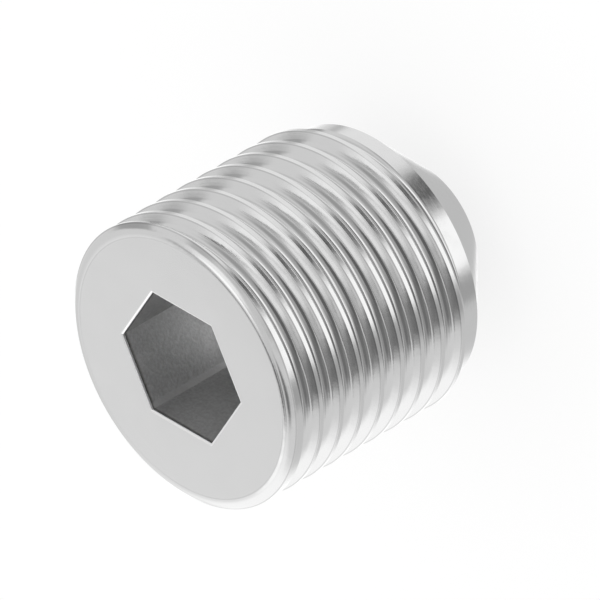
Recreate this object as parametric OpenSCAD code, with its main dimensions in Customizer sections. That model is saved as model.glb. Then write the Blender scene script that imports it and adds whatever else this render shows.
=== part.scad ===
// Hexagon socket set screw with a flat point, M22 x 2, standing on its point.
// Z runs along the screw: the flat point rests on Z = 0 and the socket opens upwards.
// It is one turned piece. A helical groove is cut into the turned body, and what the
// groove leaves between its turns is the crest of a right-hand thread.

/* [Thread] */
// Outside diameter over the crests
thread_d = 22; // [21.5:0.25:30]
// Height gained by one turn
pitch = 2; // [1.75:0.05:2.25]
// Depth of the groove below the crests
groove_depth = 0.82; // [0.7:0.01:0.95]
// Width of the flat left on the crest
crest_w = 0.31; // [0.2:0.01:0.5]
// Angle between each flank and a plane square to the axis
flank_angle = 30; // [25:1:32]
// Compass direction in which the top crest is measured, in degrees anticlockwise from X
crest_azimuth = 225; // [0:5:360]
// Depth of the middle of the top crest below the socket face, in that direction
crest_drop = 0.66; // [0.5:0.02:1.2]
// Share of a turn over which each end of the groove fades out
fade_turn = 0.25; // [0.1:0.05:0.45]

/* [Body] */
// Length from the socket face to the flat point
length = 24; // [20:1:60]
// Depth below the socket face at which the full diameter begins
rim_depth = 0.46; // [0.3:0.02:1]
// Angle between the chamfer of the rim and the axis
rim_angle = 51; // [40:1:60]
// Radius of the rounding between the socket face and the chamfer
rim_round = 1.14; // [0.3:0.02:1.6]

/* [Point] */
// Diameter of the flat point
point_d = 10.5; // [6:0.25:14]
// Angle between the cone of the point and the axis
point_angle = 45; // [40:1:50]
// Diameter of the plain neck between the thread and the cone
neck_d = 20.3; // [18:0.1:21]
// Length of the neck above the cone
neck_len = 1.2; // [0.8:0.1:4]
// Height of the step from the neck to the full diameter
step_h = 0.5; // [0.3:0.05:1]

/* [Socket] */
// Width of the hexagon across its flats
hex_af = 10; // [8:0.25:12]
// Depth of the full hexagon
hex_depth = 12; // [8:0.5:14]
// Width of the bevel round the mouth
mouth_bevel = 0.15; // [0.05:0.05:0.4]
// Full angle of the drilled cone at the bottom
drill_angle = 120; // [100:1:140]
// Distance from the drilled cone's edge to the flats
drill_inset = 0.1; // [0.1:0.05:0.5]

/* [Hidden] */
steel = [0.78, 0.78, 0.79];
// Facets of one turn of the groove, of the round of its root, and of the rim's round
turn_steps = 36;
root_steps = 3;
rim_steps = 6;
// How far a cut runs past the surface that it opens
over = 0.15;

thread_r = thread_d / 2;
neck_r = neck_d / 2;
point_r = point_d / 2;
hex_r = hex_af / 2 / cos(30);

// Heights from the point up
cone_h = (neck_r - point_r) / tan(point_angle);
neck_top = cone_h + neck_len;
thread_bottom = neck_top + step_h;
rim_bottom = length - rim_depth;

// The rim's round turns from the flat face to the chamfer
rim_turn = 90 - rim_angle;
face_r = thread_r - rim_depth * tan(rim_angle) - rim_round * tan(rim_turn / 2);

// The groove: two straight flanks and the round of the root, which touches both
groove_half = (pitch - crest_w) / 2;
root_round = (groove_half * cos(flank_angle) - groove_depth * sin(flank_angle))
    / (1 - sin(flank_angle));
lip_half = groove_half + over * tan(flank_angle);

// Turns are counted upwards from the groove below the top crest. The groove fades out
// half a turn above that crest's direction, and where its centre meets the neck's top.
groove_top = length - crest_drop - pitch / 2;
last_turn = 0.5;
first_turn = (neck_top - groove_half - groove_top) / pitch;

function rim_point(angle) =
    [face_r + rim_round * sin(angle), length - rim_round * (1 - cos(angle))];

// Right half of the lengthwise section of the turned body, from the point up
function body_section() = concat(
    [
        [0, 0],
        [point_r, 0],
        [neck_r, cone_h],
        [neck_r, neck_top],
        [thread_r, thread_bottom],
        [thread_r, rim_bottom]
    ],
    [for (i = [rim_steps : -1 : 0]) rim_point(rim_turn * i / rim_steps)],
    [[0, length]]
);

// Section of the groove from its lower lip to its upper lip, as [depth, height]
function groove_section() = concat(
    [[-over, -lip_half]],
    [
        for (i = [-root_steps : root_steps])
            let (angle = (90 - flank_angle) * i / root_steps)
            [
                groove_depth - root_round * (1 - cos(angle)),
                root_round * sin(angle)
            ]
    ],
    [[-over, lip_half]]
);

// How far the groove is lifted out of the body: nothing along the thread, and more than
// its whole depth at both ends
function fade(turn) =
    let (room = min(turn - first_turn, last_turn - turn) / fade_turn)
    (groove_depth + over) * (1 - min(1, max(0, room)));

// One point of the groove's section, carried along the helix to the given turn
function helix_point(p, turn) =
    let (
        azimuth = crest_azimuth + 360 * turn,
        r = thread_r - p[0] + fade(turn)
    )
    [r * cos(azimuth), r * sin(azimuth), groove_top + p[1] + pitch * turn];

module thread_groove() {
    section = groove_section();
    n = len(section);
    rings = ceil((last_turn - first_turn) * turn_steps);
    points = [
        for (ring = [0 : rings], p = section)
            helix_point(p, first_turn + (last_turn - first_turn) * ring / rings)
    ];
    sides = [
        for (ring = [0 : rings - 1], i = [0 : n - 1])
            let (
                a = ring * n + i,
                b = ring * n + (i + 1) % n
            )
            each [[a, b + n, b], [a, a + n, b + n]]
    ];
    start_cap = [for (i = [0 : n - 1]) i];
    end_cap = [for (i = [n - 1 : -1 : 0]) rings * n + i];
    polyhedron(points, concat(sides, [start_cap, end_cap]));
}

module turned_body() {
    rotate_extrude($fn = 96)
        polygon(body_section());
}

module hex_socket() {
    drill_r = hex_af / 2 - drill_inset;
    drill_h = drill_r / tan(drill_angle / 2);
    translate([0, 0, length - hex_depth])
        cylinder(r = hex_r, h = hex_depth + over, $fn = 6);
    translate([0, 0, length - mouth_bevel])
        cylinder(r1 = hex_r, r2 = hex_r + 2 * mouth_bevel / cos(30), h = 2 * mouth_bevel, $fn = 6);
    translate([0, 0, length - hex_depth - drill_h])
        cylinder(r1 = 0, r2 = drill_r, h = drill_h, $fn = 96);
}

module set_screw() {
    color(steel)
        difference() {
            turned_body();
            thread_groove();
            hex_socket();
        }
}

set_screw();
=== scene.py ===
"""Looks of a hexagon socket set screw that stands on its flat point, socket up.

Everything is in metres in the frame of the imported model: Z runs along the screw from the
flat point at Z = 0 to the socket face.
"""

import math

import bmesh
import bpy
import numpy as np
from mathutils import Matrix, Vector


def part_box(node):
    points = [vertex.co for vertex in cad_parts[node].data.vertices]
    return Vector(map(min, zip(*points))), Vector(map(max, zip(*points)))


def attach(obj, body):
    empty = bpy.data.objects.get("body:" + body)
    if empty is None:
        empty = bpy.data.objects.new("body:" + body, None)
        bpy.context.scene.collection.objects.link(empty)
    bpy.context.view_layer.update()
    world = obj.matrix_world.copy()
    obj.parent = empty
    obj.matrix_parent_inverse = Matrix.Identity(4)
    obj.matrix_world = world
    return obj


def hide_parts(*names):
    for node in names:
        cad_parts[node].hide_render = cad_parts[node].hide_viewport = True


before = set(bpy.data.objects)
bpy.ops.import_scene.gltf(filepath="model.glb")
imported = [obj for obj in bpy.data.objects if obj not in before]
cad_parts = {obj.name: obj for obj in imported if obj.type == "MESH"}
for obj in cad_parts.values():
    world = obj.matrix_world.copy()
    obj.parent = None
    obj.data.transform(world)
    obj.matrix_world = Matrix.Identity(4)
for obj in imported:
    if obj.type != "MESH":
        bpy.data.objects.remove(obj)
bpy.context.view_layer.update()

MM = 0.001
DEG = math.pi / 180
_, node_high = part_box("set_screw")

# Body, with the same values as the model's own source
THREAD_R = node_high.x
LENGTH = node_high.z
POINT_R = 5.25 * MM
POINT_ANGLE = 45 * DEG
NECK_R = 10.15 * MM
NECK_LEN = 1.2 * MM
STEP_H = 0.5 * MM
RIM_DEPTH = 0.46 * MM
RIM_ANGLE = 51 * DEG
RIM_ROUND = 1.14 * MM

# Thread. The azimuth, in degrees, is where the top crest is measured.
PITCH = 2 * MM
CREST_W = 0.31 * MM
GROOVE_DEPTH = 0.82 * MM
FLANK_ANGLE = 30 * DEG
CREST_AZIMUTH = 225
CREST_DROP = 0.66 * MM
FADE_TURN = 0.25
OVER = 0.15 * MM

# Socket. Its hexagon has flats in three directions, given as azimuths in degrees.
HEX_AF = 10 * MM
HEX_DEPTH = 12 * MM
MOUTH_BEVEL = 0.15 * MM
DRILL_ANGLE = 120 * DEG
DRILL_INSET = 0.1 * MM
FLAT_AZIMUTHS = (30, 90, 150)

# Fineness of the mesh: columns round the screw, steps of the groove's root, of the rim's
# round and of the round lip of the mouth, and halvings in the search for a crossing
COLUMNS = 288
ROOT_STEPS = 16
RIM_STEPS = 8
LIP_STEPS = 4
HALVINGS = 24
MERGE = 0.0002 * MM
SHARP_ANGLE = 24 * DEG
# Width of the flat strips beside a rounding, which keep the shading of the flat face flat
SUPPORT = 0.02 * MM

# Heights and radii of the body that follow from the values above
CONE_H = (NECK_R - POINT_R) / math.tan(POINT_ANGLE)
NECK_TOP = CONE_H + NECK_LEN
STEP_TOP = NECK_TOP + STEP_H
RIM_TURN = math.pi / 2 - RIM_ANGLE
FACE_R = THREAD_R - RIM_DEPTH * math.tan(RIM_ANGLE) - RIM_ROUND * math.tan(RIM_TURN / 2)

# The groove. Turns are counted upwards from the groove below the top crest.
GROOVE_HALF = (PITCH - CREST_W) / 2
ROOT_ROUND = (GROOVE_HALF * math.cos(FLANK_ANGLE) - GROOVE_DEPTH * math.sin(FLANK_ANGLE)) / (
    1 - math.sin(FLANK_ANGLE)
)
LIP_HALF = GROOVE_HALF + OVER * math.tan(FLANK_ANGLE)
GROOVE_TOP = LENGTH - CREST_DROP - PITCH / 2
LAST_TURN = 0.5
FIRST_TURN = (NECK_TOP - GROOVE_HALF - GROOVE_TOP) / PITCH
THREAD_START = GROOVE_TOP + PITCH * FIRST_TURN
THREAD_END = GROOVE_TOP + PITCH * LAST_TURN


def rim_points():
    """The rim from the chamfer's lower edge to the flat face, as (radius, height)."""
    angles = [RIM_TURN * i / RIM_STEPS for i in range(RIM_STEPS, -1, -1)]
    round_part = [
        (FACE_R + RIM_ROUND * math.sin(a), LENGTH - RIM_ROUND * (1 - math.cos(a)))
        for a in angles
    ]
    return [(THREAD_R, LENGTH - RIM_DEPTH), *round_part, (FACE_R - SUPPORT, LENGTH)]


# The turned body without its thread, from the edge of the point to the edge of the face
BLANK = np.array(
    [
        (POINT_R, 0),
        (NECK_R, CONE_H),
        (NECK_R, NECK_TOP),
        (THREAD_R, STEP_TOP),
        *rim_points(),
    ]
)


def blank_r(z):
    """Radius of the unthreaded body at a height."""
    return np.interp(z, BLANK[:, 1], BLANK[:, 0])


def groove_section():
    """Section of the groove from its lower lip to its upper lip, as (depth, height)."""
    end = math.pi / 2 - FLANK_ANGLE
    arc = [
        (GROOVE_DEPTH - ROOT_ROUND * (1 - math.cos(a)), ROOT_ROUND * math.sin(a))
        for a in np.linspace(-end, end, ROOT_STEPS + 1)
    ]
    return np.array([(-OVER, -LIP_HALF), *arc, (-OVER, LIP_HALF)])


SECTION = groove_section()


def fade(turn):
    """How far the groove is lifted out of the body near its ends."""
    room = min(turn - FIRST_TURN, LAST_TURN - turn) / FADE_TURN
    return (GROOVE_DEPTH + OVER) * (1 - min(1, max(0, room)))


def crossing(outside, inside):
    """The point between two points of a groove at which it meets the turned body."""
    a, b = np.array(outside), np.array(inside)
    for _ in range(HALVINGS):
        middle = (a + b) / 2
        if middle[0] > blank_r(middle[1]):
            a = middle
        else:
            b = middle
    return b


def groove_at(turn):
    """A groove's section at a turn of the helix, as (radius, height), cut off at the body.
    Where the groove is lifted clear of the body, all its points fall on one place of the
    body, which moves up to the step's top while the lower end comes in."""
    held = min(LAST_TURN, max(FIRST_TURN, turn))
    height = GROOVE_TOP + PITCH * held
    points = np.column_stack((THREAD_R - SECTION[:, 0] + fade(held), height + SECTION[:, 1]))
    inside = points[:, 0] < blank_r(points[:, 1])
    if not inside.any():
        if held < FIRST_TURN + FADE_TURN:
            share = (held - FIRST_TURN) / FADE_TURN
            height = THREAD_START + share * (STEP_TOP - THREAD_START)
        return np.tile((blank_r(height), height), (len(points), 1))
    first = int(np.argmax(inside))
    last = len(points) - 1 - int(np.argmax(inside[::-1]))
    points[:first] = crossing(points[first - 1], points[first])
    points[last + 1 :] = crossing(points[last + 1], points[last])
    points[:, 0] = np.minimum(points[:, 0], blank_r(points[:, 1]))
    return points


def column(azimuth):
    """The outside of the screw at one azimuth in degrees, from the point's edge to the face's
    edge. Every column has the same points in the same order, and those that fall together
    are merged later."""
    corners = np.unique(np.append(BLANK[1:-1, 1], [THREAD_START, THREAD_END]))
    lowest = math.floor(FIRST_TURN) - 1
    highest = math.ceil(LAST_TURN)
    offset = (azimuth - CREST_AZIMUTH) / 360
    line = []
    floor = 0.0
    for index in range(lowest, highest + 1):
        groove = groove_at(index + offset)
        heights = np.clip(corners, floor, groove[0, 1])
        line += list(zip(blank_r(heights), heights))
        line += [tuple(p) for p in groove]
        floor = groove[-1, 1]
    heights = np.clip(corners, floor, LENGTH)
    line += list(zip(blank_r(heights), heights))
    return [tuple(BLANK[0]), *line, tuple(BLANK[-1])]


def hexagon_r(azimuth, half_width):
    """Distance from the axis to a side of the hexagon, at an azimuth in degrees."""
    return half_width / math.cos(((azimuth % 60) - 30) * DEG)


def inside_column(azimuth):
    """Face, lip, wall and bottom of the socket at one azimuth."""
    half = HEX_AF / 2
    lip = [
        (
            hexagon_r(azimuth, half + MOUTH_BEVEL * (1 - math.sin(a))),
            LENGTH - MOUTH_BEVEL * (1 - math.cos(a)),
        )
        for a in np.linspace(0, math.pi / 2, LIP_STEPS + 1)
    ]
    wall = hexagon_r(azimuth, half)
    bottom = LENGTH - HEX_DEPTH
    drill_r = half - DRILL_INSET
    tip = bottom - drill_r / math.tan(DRILL_ANGLE / 2)
    return [
        (hexagon_r(azimuth, half + MOUTH_BEVEL + SUPPORT), LENGTH),
        *lip,
        (wall, LENGTH - MOUTH_BEVEL - SUPPORT),
        (wall, bottom),
        (drill_r, bottom),
        (0, tip),
    ]


def screw_mesh():
    """One closed mesh: a column of points from the middle of the point, up the outside and
    down into the socket, at each azimuth."""
    start = CREST_AZIMUTH + 360 * LAST_TURN
    points = []
    for i in range(COLUMNS + 1):
        azimuth = start + 360 * i / COLUMNS
        line = [(0, 0), *column(azimuth), *inside_column(azimuth)]
        c, s = math.cos(azimuth * DEG), math.sin(azimuth * DEG)
        points += [(r * c, r * s, z) for r, z in line]
    rows = len(line)
    faces = [
        (i * rows + j, (i + 1) * rows + j, (i + 1) * rows + j + 1, i * rows + j + 1)
        for i in range(COLUMNS)
        for j in range(rows - 1)
    ]
    return points, faces


# Places of the three materials in the screw's list
OUTSIDE, FACE, SOCKET = range(3)
# Below this depth no face belongs to the socket
SOCKET_REACH = HEX_DEPTH + HEX_AF / 2


def region(centre):
    """Material of a face: the turned outside, the socket face with its lip, or the inside
    of the socket."""
    radius = math.hypot(centre.x, centre.y)
    azimuth = math.atan2(centre.y, centre.x) / DEG
    depth = LENGTH - centre.z
    if depth < MOUTH_BEVEL and radius < FACE_R:
        return FACE
    if depth < SOCKET_REACH and radius < hexagon_r(azimuth, HEX_AF / 2) + SUPPORT:
        return SOCKET
    return OUTSIDE


def make_screw():
    """The screw as one object, with its edges marked sharp where two surfaces meet."""
    points, faces = screw_mesh()
    mesh = bpy.data.meshes.new("screw_body")
    mesh.from_pydata(points, [], faces)
    shape = bmesh.new()
    shape.from_mesh(mesh)
    bmesh.ops.remove_doubles(shape, verts=shape.verts, dist=MERGE)
    bmesh.ops.dissolve_degenerate(shape, edges=shape.edges, dist=MERGE)
    bmesh.ops.recalc_face_normals(shape, faces=shape.faces)
    for face in shape.faces:
        face.smooth = True
        face.material_index = region(face.calc_center_median())
    shape.to_mesh(mesh)
    shape.free()
    mesh.set_sharp_from_angle(angle=SHARP_ANGLE)
    screw = bpy.data.objects.new("screw_body", mesh)
    bpy.context.scene.collection.objects.link(screw)
    return screw


# Materials

# Share of light that bright steel gives back, in the painted dark line round the socket face, a
# painted reflection that darkens its edge, and in the painted highlight along the socket's mouth
STEEL = 0.8
EDGE_SHADE_TONE = 0.72
MOUTH_HIGHLIGHT_TONE = 0.98
# Share of the steel's own light that is left in the painted dark line, painted shade, inside each
# edge of a crest
CREST_SHADE_TONE = 0.8
# Widths of these painted dark lines and of the painted highlight at the mouth
EDGE_SHADE_LINE = 0.06 * MM
CREST_SHADE_LINE = 0.11 * MM
MOUTH_HIGHLIGHT_LINE = 0.14 * MM
# Share of a line's width, from its middle, that has the line's full tone
EDGE_CORE = 0.3
CREST_CORE = 0.2
# Distance from the hexagon at which the painted highlight at the mouth begins to fade
MOUTH_HIGHLIGHT_START = 0.7 * MOUTH_BEVEL

# Detail of the three kinds of noise, and the values between which most of a noise lies
LINE_DETAIL = 2.0
CLOUD_DETAIL = 3.0
GRAIN_DETAIL = 4.0
CLOUD_RANGE = (0.3, 0.7)
GRAIN_RANGE = (0.2, 0.8)

# Turned outside: width, length and height of its lines, size and height of its clouds, and
# the roughness in the lowest and in the highest of them
TURNED_LINE = 0.16 * MM
TURNED_LINE_LENGTH = 5 * MM
TURNED_LINE_HEIGHT = 0.0024 * MM
TURNED_CLOUD = 0.9 * MM
TURNED_CLOUD_HEIGHT = 0.008 * MM
TURNED_ROUGHNESS = (0.09, 0.15)

# Socket face, in the same order
FACED_LINE = 0.3 * MM
FACED_LINE_LENGTH = 12 * MM
FACED_LINE_HEIGHT = 0.0008 * MM
FACED_CLOUD = 2.5 * MM
FACED_CLOUD_HEIGHT = 0.003 * MM
FACED_ROUGHNESS = (0.22, 0.26)

# Inside of the socket: size, height and colours of its grain, size of its clouds and the
# roughness in them, and the colour, darkened by painted shade, at a depth of one hexagon's width
GRAIN = 0.22 * MM
GRAIN_HEIGHT = 0.012 * MM
GRAIN_TONES = (0.8, 1.0)
SOCKET_CLOUD = 1.5 * MM
SOCKET_ROUGHNESS = (0.3, 0.4)
DEEP_SHADE_TONE = 0.86
# Painted shade in a darker band just below the mouth: its colour, and the depth at which it ends
SHADE_BAND_TONE = 0.35
SHADE_BAND_DEPTH = 3 * MOUTH_BEVEL
# Painted highlight, a lighter streak at one end of two opposite walls: azimuth of the direction
# along them in degrees, distances from the corner at which it starts and is full, width over
# which it stops at the corner, and the painted light that it adds
STREAK = 0.34 * MM
STREAK_AZIMUTH = 120
STREAK_START = 1.7 * STREAK
STREAK_FULL = 0.7 * STREAK
STREAK_END = 0.01 * MM
STREAK_HIGHLIGHT_GAIN = 0.5


class Nodes:
    """Short forms for building a node tree: an input is a number, a tuple or a socket."""

    def __init__(self, tree):
        """Start from an empty tree."""
        self.tree = tree
        tree.nodes.clear()

    def add(self, kind, inputs=(), **settings):
        """A node of a kind, with its settings made and its inputs filled or joined."""
        node = self.tree.nodes.new(kind)
        for name, value in settings.items():
            setattr(node, name, value)
        for key, value in dict(inputs).items():
            if isinstance(value, bpy.types.NodeSocket):
                self.tree.links.new(value, node.inputs[key])
            else:
                node.inputs[key].default_value = value
        return node

    def math(self, operation, *values):
        """Result of a sum or other operation on single values."""
        inputs = dict(enumerate(values))
        return self.add("ShaderNodeMath", inputs, operation=operation).outputs[0]

    def vector(self, operation, *values):
        """Result of an operation on vectors."""
        node = self.add("ShaderNodeVectorMath", dict(enumerate(values)), operation=operation)
        return node.outputs["Value" if operation == "LENGTH" else "Vector"]

    def smooth(self, value, start, end, low, high):
        """A value that goes smoothly from low to high between start and end."""
        inputs = {"Value": value, "From Min": start, "From Max": end, "To Min": low, "To Max": high}
        return self.add("ShaderNodeMapRange", inputs, interpolation_type="SMOOTHSTEP").outputs[0]

    def blend(self, share, first, second):
        """The first value where the share is 0, the second where it is 1."""
        inputs = {0: share, 2: first, 3: second}
        return self.add("ShaderNodeMix", inputs, data_type="FLOAT").outputs[0]

    def noise(self, vector, size, detail):
        """Noise with spots of about a size in metres."""
        inputs = {"Vector": vector, "Scale": 1 / size, "Detail": detail}
        return self.add("ShaderNodeTexNoise", inputs).outputs[0]


def linear(tone):
    """Light of a grey tone between 0 and 255, by the sRGB curve."""
    share = tone / 255
    return ((share + 0.055) / 1.055) ** 2.4 if share > 0.04 else share / 12.92


def new_material(name):
    """A material and its empty node tree."""
    material = bpy.data.materials.new(name)
    material.use_nodes = True
    return material, Nodes(material.node_tree)


def metal(nodes, colour, roughness, height):
    """Bare metal, with its colour, roughness and relief in metres as sockets."""
    bump = nodes.add("ShaderNodeBump", {"Height": height, "Distance": 1.0, "Strength": 1.0})
    surface = nodes.add(
        "ShaderNodeBsdfPrincipled",
        {"Base Color": colour, "Metallic": 1.0, "Roughness": roughness, "Normal": bump.outputs[0]},
    )
    nodes.add("ShaderNodeOutputMaterial", {0: surface.outputs[0]})


class Place:
    """Where a point of the screw lies, as sockets: its position, radius and height."""

    def __init__(self, nodes):
        """Take the point's place in the screw's own frame."""
        self.position = nodes.add("ShaderNodeTexCoord").outputs["Object"]
        self.x, self.y, self.z = nodes.add("ShaderNodeSeparateXYZ", {0: self.position}).outputs
        flat = nodes.add("ShaderNodeCombineXYZ", {0: self.x, 1: self.y}).outputs[0]
        self.radius = nodes.vector("LENGTH", flat)


def turning_lines(nodes, place, width, length):
    """Noise in lines of a width round the axis, each line as long as length."""
    share = width / length
    along = [nodes.math("MULTIPLY", part, share) for part in (place.x, place.y)]
    vector = nodes.add("ShaderNodeCombineXYZ", {0: place.radius, 1: along[0], 2: along[1]})
    inputs = {"Vector": vector.outputs[0], "W": place.z, "Scale": 1 / width, "Detail": LINE_DETAIL}
    return nodes.add("ShaderNodeTexNoise", inputs, noise_dimensions="4D").outputs[0]


def relief(nodes, *layers):
    """Sum of layers, each a noise and its height in metres."""
    total = 0.0
    for noise, height in layers:
        total = nodes.math("MULTIPLY_ADD", noise, height, total)
    return total


def distance_along(nodes, place, azimuth):
    """Distance of a point from the axis in the direction of an azimuth in degrees."""
    part = nodes.math("MULTIPLY", place.x, math.cos(azimuth * DEG))
    return nodes.math("MULTIPLY_ADD", place.y, math.sin(azimuth * DEG), part)


def off_mouth(nodes, place):
    """Distance of a point from the hexagon, outwards from its flats."""
    widths = [
        nodes.math("ABSOLUTE", distance_along(nodes, place, azimuth)) for azimuth in FLAT_AZIMUTHS
    ]
    widest = nodes.math("MAXIMUM", nodes.math("MAXIMUM", widths[0], widths[1]), widths[2])
    return nodes.math("SUBTRACT", widest, HEX_AF / 2)


def edge_shade_line(nodes, place):
    """Steel's colour, with a painted dark line, a painted reflection, along the edge of the socket
    face.
    """
    off = nodes.math("ABSOLUTE", nodes.math("SUBTRACT", place.radius, FACE_R))
    low = nodes.math("SUBTRACT", LENGTH, place.z)
    far = nodes.math("MAXIMUM", off, low)
    return nodes.smooth(far, EDGE_CORE * EDGE_SHADE_LINE, EDGE_SHADE_LINE, EDGE_SHADE_TONE, STEEL)


def crest_shade_line(nodes, place):
    """Share of light left in the painted dark line, painted shade, just inside each edge of a
    crest.
    """
    depth = nodes.math("SUBTRACT", THREAD_R, place.radius)
    off = nodes.math("ABSOLUTE", nodes.math("SUBTRACT", depth, CREST_SHADE_LINE / 2))
    return nodes.smooth(off, CREST_CORE * CREST_SHADE_LINE, CREST_SHADE_LINE / 2, CREST_SHADE_TONE, 1.0)


def turned_steel():
    """Bright turned surface with fine lines round the axis, a faint cloudy grain and painted dark
    lines, painted shade, at the face's edge and the crests' edges.
    """
    material, nodes = new_material("turned_steel")
    place = Place(nodes)
    lines = turning_lines(nodes, place, TURNED_LINE, TURNED_LINE_LENGTH)
    clouds = nodes.noise(place.position, TURNED_CLOUD, CLOUD_DETAIL)
    roughness = nodes.smooth(clouds, *CLOUD_RANGE, *TURNED_ROUGHNESS)
    height = relief(nodes, (lines, TURNED_LINE_HEIGHT), (clouds, TURNED_CLOUD_HEIGHT))
    # Painted shade: dark lines at the socket face's edge and just inside each edge of a crest
    colour = nodes.math("MULTIPLY", edge_shade_line(nodes, place), crest_shade_line(nodes, place))
    metal(nodes, colour, roughness, height)
    return material


def faced_steel():
    """Flat face with very fine turning lines, a satin finish, a painted highlight along its inner
    edge at the mouth and a painted dark line at its outer edge.
    """
    material, nodes = new_material("faced_steel")
    place = Place(nodes)
    lines = turning_lines(nodes, place, FACED_LINE, FACED_LINE_LENGTH)
    clouds = nodes.noise(place.position, FACED_CLOUD, CLOUD_DETAIL)
    roughness = nodes.smooth(clouds, *CLOUD_RANGE, *FACED_ROUGHNESS)
    height = relief(nodes, (lines, FACED_LINE_HEIGHT), (clouds, FACED_CLOUD_HEIGHT))
    off = off_mouth(nodes, place)
    end = MOUTH_HIGHLIGHT_START + MOUTH_HIGHLIGHT_LINE
    # Painted highlight: lighter colour along the mouth of the socket; the face's edge gets the
    # painted dark line
    mouth_highlight = nodes.smooth(off, MOUTH_HIGHLIGHT_START, end, MOUTH_HIGHLIGHT_TONE / STEEL, 1.0)
    colour = nodes.math("MULTIPLY", edge_shade_line(nodes, place), mouth_highlight)
    metal(nodes, colour, roughness, height)
    return material


def highlight_streak(nodes, place):
    """How much a point lies in the painted highlight streak, from 0 to 1."""
    along = distance_along(nodes, place, STREAK_AZIMUTH)
    corner = HEX_AF / 2 * math.tan(30 * DEG)
    near = nodes.smooth(along, corner - STREAK_START, corner - STREAK_FULL, 0.0, 1.0)
    short = nodes.smooth(along, corner - STREAK_END, corner, 1.0, 0.0)
    return nodes.math("MULTIPLY", near, short)


def socket_steel():
    """Granular satin walls of the socket, with painted shade that darkens them with depth and in a
    band below the mouth, and a painted highlight in a lighter streak beside a corner."""
    material, nodes = new_material("socket_steel")
    place = Place(nodes)
    grain = nodes.noise(place.position, GRAIN, GRAIN_DETAIL)
    clouds = nodes.noise(place.position, SOCKET_CLOUD, CLOUD_DETAIL)
    depth = nodes.math("SUBTRACT", LENGTH, place.z)
    # Painted shade: the walls darken with depth into the socket
    deep_shade = nodes.smooth(depth, 0.0, HEX_AF, 1.0, DEEP_SHADE_TONE)
    # Painted shade: a dark band just below the mouth
    shade_band = nodes.smooth(depth, MOUTH_BEVEL, SHADE_BAND_DEPTH, SHADE_BAND_TONE, 1.0)
    # Painted highlight: a lighter streak beside a corner of the socket
    light = nodes.math("MULTIPLY_ADD", highlight_streak(nodes, place), STREAK_HIGHLIGHT_GAIN, 1.0)
    colour = nodes.math("MULTIPLY", deep_shade, nodes.smooth(grain, *GRAIN_RANGE, *GRAIN_TONES))
    colour = nodes.math("MULTIPLY", colour, shade_band)
    colour = nodes.math("MULTIPLY", colour, light)
    roughness = nodes.smooth(clouds, *CLOUD_RANGE, *SOCKET_ROUGHNESS)
    metal(nodes, colour, roughness, relief(nodes, (grain, GRAIN_HEIGHT)))
    return material


# Studio

# Walls of the studio and what stands or hangs in front of them, later ones on top, as the
# tone between 0 and 255 in which the steel shows them. Each panel is a soft oval: azimuth
# and elevation of its middle, half width and half height in degrees, softness, tone.
WALL = 202
ALL_ROUND = 9999
PANELS = [
    (0, 90, ALL_ROUND, 30, 0.25, 192),
    (325, 71, 45, 14, 0.5, 232),
    (18, 67, 26, 8, 0.4, 252),
    (165, 64, 34, 12, 0.3, 198),
    (125, 65, 24, 12, 0.5, 104),
    (45, 36, 16, 14, 0.6, 214),
    (46, 46, 9, 5, 0.4, 140),
    (22, 52, 18, 3, 0.5, 160),
    (70, 60, 10, 7, 0.5, 120),
    (54, 52, 7, 5, 0.4, 80),
    (60, 40, 10, 6, 0.4, 250),
    (0, -90, ALL_ROUND, 45, 0.08, 178),
    (215, -54, 62, 14, 0.25, 122),
    (300, -20, 40, 13, 0.6, 186),
    (212, 16, 50, 30, 0.5, 154),
    (274, 34, 28, 26, 0.6, 148),
    (174, 14, 29, 32, 0.4, 104),
    (160, -22, 24, 16, 0.5, 138),
    (156, 38, 20, 13, 0.3, 118),
    (214, 44, 40, 20, 0.25, 90),
    (244, -21, 28, 10, 0.4, 246),
    (130, -38, 30, 8, 0.5, 190),
    (162, -36, 9, 9, 0.6, 156),
    (204, -36, 24, 6, 0.3, 248),
    (254, -39, 20, 8, 0.5, 90),
    (312, -38, 40, 8, 0.4, 222),
    (80, 8, 27, 40, 0.4, 244),
    (50, -31, 38, 11, 0.4, 250),
    (352, 0, 14, 36, 0.2, 154),
    (309, 50, 14, 8, 0.4, 172),
]
# Light that falls on anything matt, evenly from all sides
DOME = 1.0

# Floor: half its width in metres, its colour, the strength of the white that the camera
# sees in it, and the share of that white in what the camera sees
FLOOR_HALF = 1.5
FLOOR_COLOUR = (0.9, 0.9, 0.9, 1)
FLOOR_WHITE = 1.05
FLOOR_SHARE = 0.75


def panel_share(nodes, place, azimuth, elevation, half_width, half_height, soft):
    """How much of an oval panel is seen at a place, given as shares of a full turn."""
    middle = (0.5 - azimuth / 360, 0.5 - elevation / 360, 0)
    off = nodes.vector("FRACTION", nodes.vector("ADD", place, middle))
    size = (360 / half_width, 360 / half_height, 0)
    back = (-180 / half_width, -180 / half_height, 0)
    far = nodes.vector("LENGTH", nodes.vector("MULTIPLY_ADD", off, size, back))
    return nodes.smooth(far, 1 - soft, 1 + soft, 1.0, 0.0)


def studio_pattern(nodes):
    """Light that the polished metal sees round it: WALL with the PANELS laid over it."""
    direction = nodes.add("ShaderNodeTexCoord").outputs["Generated"]
    x, y, z = nodes.add("ShaderNodeSeparateXYZ", {0: direction}).outputs
    azimuth = nodes.math("DIVIDE", nodes.math("ARCTAN2", y, x), 2 * math.pi)
    elevation = nodes.math("DIVIDE", nodes.math("ARCSINE", z), 2 * math.pi)
    place = nodes.add("ShaderNodeCombineXYZ", {0: azimuth, 1: elevation}).outputs[0]
    light = linear(WALL) / STEEL
    for *oval, tone in PANELS:
        light = nodes.blend(panel_share(nodes, place, *oval), light, linear(tone) / STEEL)
    return light


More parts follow.
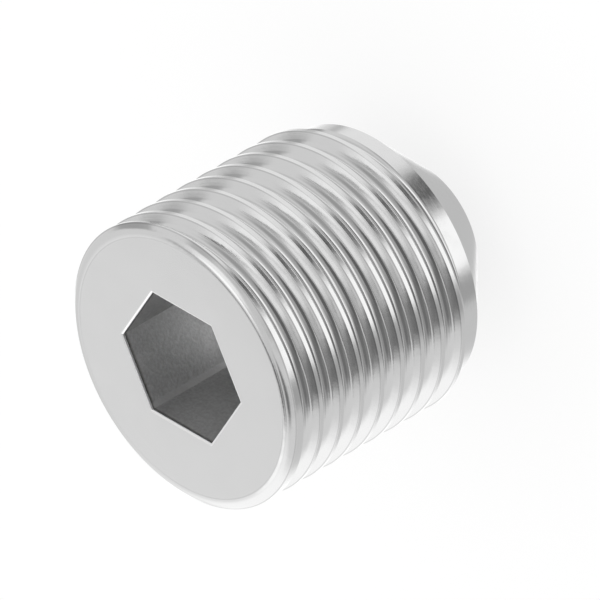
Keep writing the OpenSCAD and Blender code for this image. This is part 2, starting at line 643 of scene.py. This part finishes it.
def make_world():
    """White to the camera, the studio's pattern to the metal, and even light on the rest."""
    world = bpy.data.worlds.new("studio")
    world.use_nodes = True
    nodes = Nodes(world.node_tree)
    ray = nodes.add("ShaderNodeLightPath").outputs
    seen = nodes.blend(ray["Is Glossy Ray"], DOME, studio_pattern(nodes))
    through = nodes.math("MAXIMUM", ray["Is Camera Ray"], ray["Is Transmission Ray"])
    seen = nodes.blend(through, seen, 1.0)
    light = nodes.add("ShaderNodeBackground", {"Color": seen, "Strength": 1.0})
    nodes.add("ShaderNodeOutputWorld", {0: light.outputs[0]})
    bpy.context.scene.world = world


def make_floor():
    """Plain pale floor: white to the camera, with a faint shadow of the screw."""
    half = FLOOR_HALF
    mesh = bpy.data.meshes.new("floor")
    corners = [(-half, -half, 0), (half, -half, 0), (half, half, 0), (-half, half, 0)]
    mesh.from_pydata(corners, [], [(0, 1, 2, 3)])
    floor = bpy.data.objects.new("floor", mesh)
    bpy.context.scene.collection.objects.link(floor)
    material, nodes = new_material("pale_floor")
    ray = nodes.add("ShaderNodeLightPath").outputs
    matt = nodes.add("ShaderNodeBsdfDiffuse", {"Color": FLOOR_COLOUR})
    white = nodes.add("ShaderNodeEmission", {"Color": (1, 1, 1, 1), "Strength": FLOOR_WHITE})
    share = nodes.math("MULTIPLY", ray["Is Camera Ray"], FLOOR_SHARE)
    mix = nodes.add("ShaderNodeMixShader", {0: share, 1: matt.outputs[0], 2: white.outputs[0]})
    nodes.add("ShaderNodeOutputMaterial", {0: mix.outputs[0]})
    mesh.materials.append(material)
    floor.visible_glossy = False


# Camera: parallel view at the photograph's angle, rolled so that the screw lies as it does
# there. The centre of the picture falls on VIEW_CENTRE, and VIEW_WIDTH is what it takes in.
VIEW_RIGHT = Vector((-1, 0, -1)).normalized()
VIEW_BACK = Vector((-1, -1, 1)).normalized()
VIEW_CENTRE = Vector((-3.914, -3.901, 16.185)) * MM
VIEW_WIDTH = 41.905 * MM
VIEW_DISTANCE = 200 * MM
# Nearest and farthest distance that the camera shows, in metres
VIEW_NEAR = 0.001
VIEW_FAR = 10


def make_camera():
    """The camera of the rest picture."""
    data = bpy.data.cameras.new("camera")
    data.type = "ORTHO"
    data.ortho_scale = VIEW_WIDTH
    data.clip_start = VIEW_NEAR
    data.clip_end = VIEW_FAR
    camera = bpy.data.objects.new("camera", data)
    turn = Matrix((VIEW_RIGHT, VIEW_BACK.cross(VIEW_RIGHT), VIEW_BACK)).transposed()
    camera.matrix_world = (
        Matrix.Translation(VIEW_CENTRE + VIEW_BACK * VIEW_DISTANCE) @ turn.to_4x4()
    )
    bpy.context.scene.collection.objects.link(camera)
    bpy.context.scene.camera = camera


screw = make_screw()
for make in (turned_steel, faced_steel, socket_steel):
    screw.data.materials.append(make())
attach(screw, "root")
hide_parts("set_screw")

make_world()
make_floor()
make_camera()
bpy.context.scene.view_settings.view_transform = "Standard"
